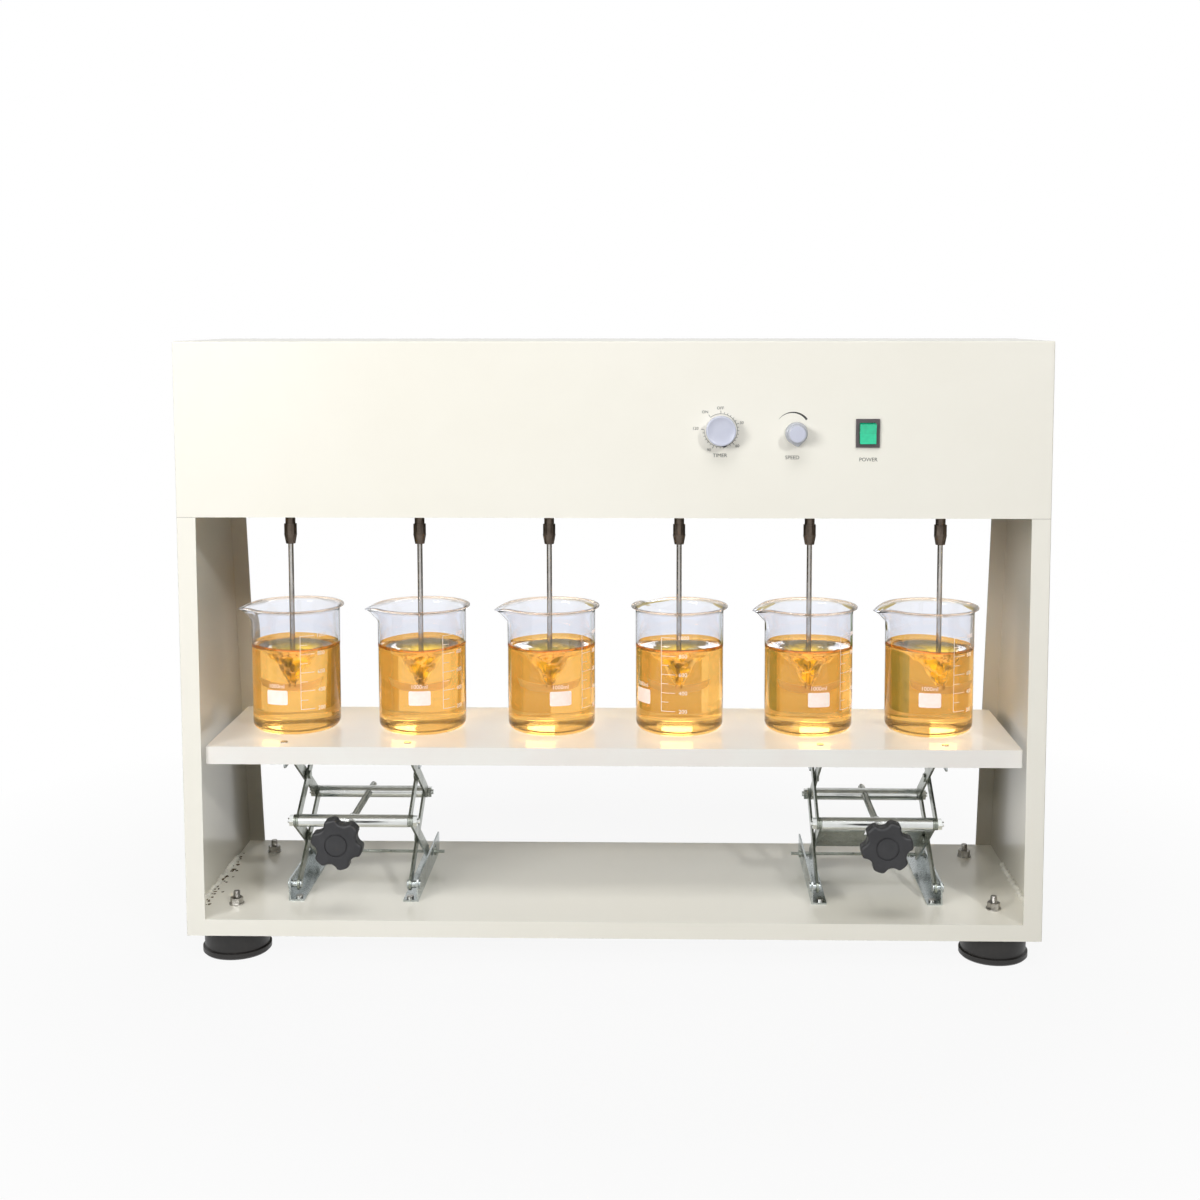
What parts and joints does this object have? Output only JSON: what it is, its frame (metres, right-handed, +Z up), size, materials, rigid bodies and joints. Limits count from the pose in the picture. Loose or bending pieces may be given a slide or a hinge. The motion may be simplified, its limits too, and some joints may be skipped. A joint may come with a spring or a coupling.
{
  "type": "jar tester",
  "caption": "Bench jar tester: stirring head on a folded sheet frame over glass beakers on a shelf that scissor jacks raise and lower.",
  "frame": {"origin": "on the bench under the middle of the whole object's box", "axes": "+X along the row of beakers to the right seen from the front, +Y to the rear, +Z up"},
  "size_m": [0.955, 0.2994, 0.699],
  "materials": {
    "cream_paint": "satin",
    "zinc_steel": "satin",
    "stainless": "polished",
    "chuck_metal": "satin",
    "foot_rubber": "matte",
    "knob_black": "matte",
    "beaker_glass": "clear",
    "control_grey": "satin",
    "switch_dark": "satin",
    "rocker_green": "gloss",
    "motor_case": "satin",
    "board_green": "matte",
    "gland_black": "matte",
    "screw_steel": "satin"
  },
  "bodies": {
    "frame": {"base_tray": "cream_paint", "left_side_frame": "cream_paint", "right_side_frame": "cream_paint", "front_left_foot": "foot_rubber", "front_right_foot": "foot_rubber", "rear_left_foot": "foot_rubber", "rear_right_foot": "foot_rubber", "foot_bolts": "screw_steel", "foot_nuts": "screw_steel", "head_cover": "cream_paint", "head_rear_panel": "cream_paint", "motor_plate": "cream_paint", "drive_motors": "motor_case", "control_board": "board_green", "timer_body": "gland_black", "speed_potentiometer": "motor_case", "switch_housing": "switch_dark", "cable_gland": "gland_black", "frame_screws": "screw_steel", "floor_rails": "zinc_steel"},
    "shelf": {"shelf_tray": "cream_paint", "shelf_screws": "screw_steel", "shelf_rails": "zinc_steel", "beaker_1": "beaker_glass", "beaker_2": "beaker_glass", "beaker_3": "beaker_glass", "beaker_4": "beaker_glass", "beaker_5": "beaker_glass", "beaker_6": "beaker_glass"},
    "left_lower_front_arms": {"left_lower_front_arms": "zinc_steel"},
    "left_lower_rear_arms": {"left_lower_rear_arms": "zinc_steel"},
    "left_upper_rear_arms": {"left_upper_rear_arms": "zinc_steel"},
    "left_upper_front_arms": {"left_upper_front_arms": "zinc_steel"},
    "left_front_bar": {"left_front_bar": "zinc_steel"},
    "left_rear_bar": {"left_rear_bar": "zinc_steel"},
    "left_screw": {"left_lead_screw": "zinc_steel", "left_star_knob": "knob_black"},
    "right_lower_front_arms": {"right_lower_front_arms": "zinc_steel"},
    "right_lower_rear_arms": {"right_lower_rear_arms": "zinc_steel"},
    "right_upper_rear_arms": {"right_upper_rear_arms": "zinc_steel"},
    "right_upper_front_arms": {"right_upper_front_arms": "zinc_steel"},
    "right_front_bar": {"right_front_bar": "zinc_steel"},
    "right_rear_bar": {"right_rear_bar": "zinc_steel"},
    "right_screw": {"right_lead_screw": "zinc_steel", "right_star_knob": "knob_black"},
    "stirrer_1": {"chuck_1": "chuck_metal", "stirrer_1": "stainless"},
    "stirrer_2": {"chuck_2": "chuck_metal", "stirrer_2": "stainless"},
    "stirrer_3": {"chuck_3": "chuck_metal", "stirrer_3": "stainless"},
    "stirrer_4": {"chuck_4": "chuck_metal", "stirrer_4": "stainless"},
    "stirrer_5": {"chuck_5": "chuck_metal", "stirrer_5": "stainless"},
    "stirrer_6": {"chuck_6": "chuck_metal", "stirrer_6": "stainless"},
    "timer_knob": {"timer_knob": "control_grey"},
    "speed_knob": {"speed_knob": "control_grey"},
    "power_rocker": {"power_rocker": "rocker_green"}
  },
  "joints": [
    {"name": "left_jack_fold", "type": "hinge", "parent": "frame", "child": "left_lower_front_arms", "pos_m": [-0.3005, -0.06025, 0.0704], "axis": [1, 0, 0], "range_deg": [-22.5, 9.5]},
    {"name": "left_rear_bar_turn", "type": "hinge", "parent": "left_lower_front_arms", "child": "left_rear_bar", "pos_m": [-0.3005, 0.05679, 0.14539], "axis": [1, 0, 0], "range_deg": [-10, 23]},
    {"name": "left_lower_cross", "type": "hinge", "parent": "left_lower_front_arms", "child": "left_lower_rear_arms", "pos_m": [-0.3005, -0.00173, 0.1079], "axis": [1, 0, 0], "range_deg": [-19.5, 45.5]},
    {"name": "left_front_bar_turn", "type": "hinge", "parent": "left_lower_rear_arms", "child": "left_front_bar", "pos_m": [-0.3005, -0.06025, 0.14539], "axis": [1, 0, 0], "range_deg": [-23, 10]},
    {"name": "left_screw_turn", "type": "hinge", "parent": "left_front_bar", "child": "left_screw", "pos_m": [-0.3033, -0.06025, 0.14539], "axis": [0, 1, 0], "range_deg": [-6840.79, 2890.09]},
    {"name": "left_rear_pivot", "type": "hinge", "parent": "left_lower_front_arms", "child": "left_upper_front_arms", "pos_m": [-0.3005, 0.05679, 0.14539], "axis": [1, 0, 0], "range_deg": [-19.5, 45.5]},
    {"name": "left_upper_cross", "type": "hinge", "parent": "left_upper_front_arms", "child": "left_upper_rear_arms", "pos_m": [-0.3005, -0.00173, 0.18289], "axis": [1, 0, 0], "range_deg": [-45.5, 19.5]},
    {"name": "shelf_pivot", "type": "hinge", "parent": "left_upper_front_arms", "child": "shelf", "pos_m": [-0.3005, -0.06025, 0.22038], "axis": [1, 0, 0], "range_deg": [-23, 10]},
    {"name": "right_jack_fold", "type": "hinge", "parent": "frame", "child": "right_lower_front_arms", "pos_m": [0.3023, -0.06025, 0.0704], "axis": [1, 0, 0], "range_deg": [-23, 10]},
    {"name": "right_rear_bar_turn", "type": "hinge", "parent": "right_lower_front_arms", "child": "right_rear_bar", "pos_m": [0.3023, 0.05679, 0.14539], "axis": [1, 0, 0], "range_deg": [-10, 23]},
    {"name": "right_lower_cross", "type": "hinge", "parent": "right_lower_front_arms", "child": "right_lower_rear_arms", "pos_m": [0.3023, -0.00173, 0.1079], "axis": [1, 0, 0], "range_deg": [-19.5, 45.5]},
    {"name": "right_front_bar_turn", "type": "hinge", "parent": "right_lower_rear_arms", "child": "right_front_bar", "pos_m": [0.3023, -0.06025, 0.14539], "axis": [1, 0, 0], "range_deg": [-23, 10]},
    {"name": "right_screw_turn", "type": "hinge", "parent": "right_front_bar", "child": "right_screw", "pos_m": [0.3023, -0.06025, 0.14539], "axis": [0, 1, 0], "range_deg": [-6840.79, 2890.09]},
    {"name": "right_rear_pivot", "type": "hinge", "parent": "right_lower_front_arms", "child": "right_upper_front_arms", "pos_m": [0.3023, 0.05679, 0.14539], "axis": [1, 0, 0], "range_deg": [-19.5, 45.5]},
    {"name": "right_upper_cross", "type": "hinge", "parent": "right_upper_front_arms", "child": "right_upper_rear_arms", "pos_m": [0.3023, -0.00173, 0.18289], "axis": [1, 0, 0], "range_deg": [-45.5, 19.5]},
    {"name": "stirrer_1_spin", "type": "hinge", "parent": "frame", "child": "stirrer_1", "pos_m": [-0.375, -0.02725, 0.42], "axis": [0, 0, 1], "continuous": true},
    {"name": "stirrer_2_spin", "type": "hinge", "parent": "frame", "child": "stirrer_2", "pos_m": [-0.225, -0.02725, 0.42], "axis": [0, 0, 1], "continuous": true},
    {"name": "stirrer_3_spin", "type": "hinge", "parent": "frame", "child": "stirrer_3", "pos_m": [-0.075, -0.02725, 0.42], "axis": [0, 0, 1], "continuous": true},
    {"name": "stirrer_4_spin", "type": "hinge", "parent": "frame", "child": "stirrer_4", "pos_m": [0.075, -0.02725, 0.42], "axis": [0, 0, 1], "continuous": true},
    {"name": "stirrer_5_spin", "type": "hinge", "parent": "frame", "child": "stirrer_5", "pos_m": [0.225, -0.02725, 0.42], "axis": [0, 0, 1], "continuous": true},
    {"name": "stirrer_6_spin", "type": "hinge", "parent": "frame", "child": "stirrer_6", "pos_m": [0.375, -0.02725, 0.42], "axis": [0, 0, 1], "continuous": true},
    {"name": "timer_turn", "type": "hinge", "parent": "frame", "child": "timer_knob", "pos_m": [0.1188, -0.12825, 0.6025], "axis": [0, 1, 0], "range_deg": [-205, 106]},
    {"name": "speed_turn", "type": "hinge", "parent": "frame", "child": "speed_knob", "pos_m": [0.2006, -0.12825, 0.5994], "axis": [0, 1, 0], "range_deg": [-150, 150]},
    {"name": "power_rock", "type": "hinge", "parent": "frame", "child": "power_rocker", "pos_m": [0.2776, -0.12825, 0.5996], "axis": [1, 0, 0], "range_deg": [-16, 0]}
  ],
  "couplings": [
    {"joint": "left_rear_bar_turn", "follows": "left_jack_fold", "ratio": -1},
    {"joint": "left_lower_cross", "follows": "left_jack_fold", "ratio": -2},
    {"joint": "left_front_bar_turn", "follows": "left_jack_fold", "ratio": 1},
    {"joint": "left_screw_turn", "follows": "left_jack_fold", "ratio": 303.9},
    {"joint": "left_rear_pivot", "follows": "left_jack_fold", "ratio": -2},
    {"joint": "left_upper_cross", "follows": "left_jack_fold", "ratio": 2},
    {"joint": "shelf_pivot", "follows": "left_jack_fold", "ratio": 1},
    {"joint": "right_jack_fold", "follows": "left_jack_fold", "ratio": 1},
    {"joint": "right_rear_bar_turn", "follows": "left_jack_fold", "ratio": -1},
    {"joint": "right_lower_cross", "follows": "left_jack_fold", "ratio": -2},
    {"joint": "right_front_bar_turn", "follows": "left_jack_fold", "ratio": 1},
    {"joint": "right_screw_turn", "follows": "left_jack_fold", "ratio": 303.9},
    {"joint": "right_rear_pivot", "follows": "left_jack_fold", "ratio": -2},
    {"joint": "right_upper_cross", "follows": "left_jack_fold", "ratio": 2}
  ]
}
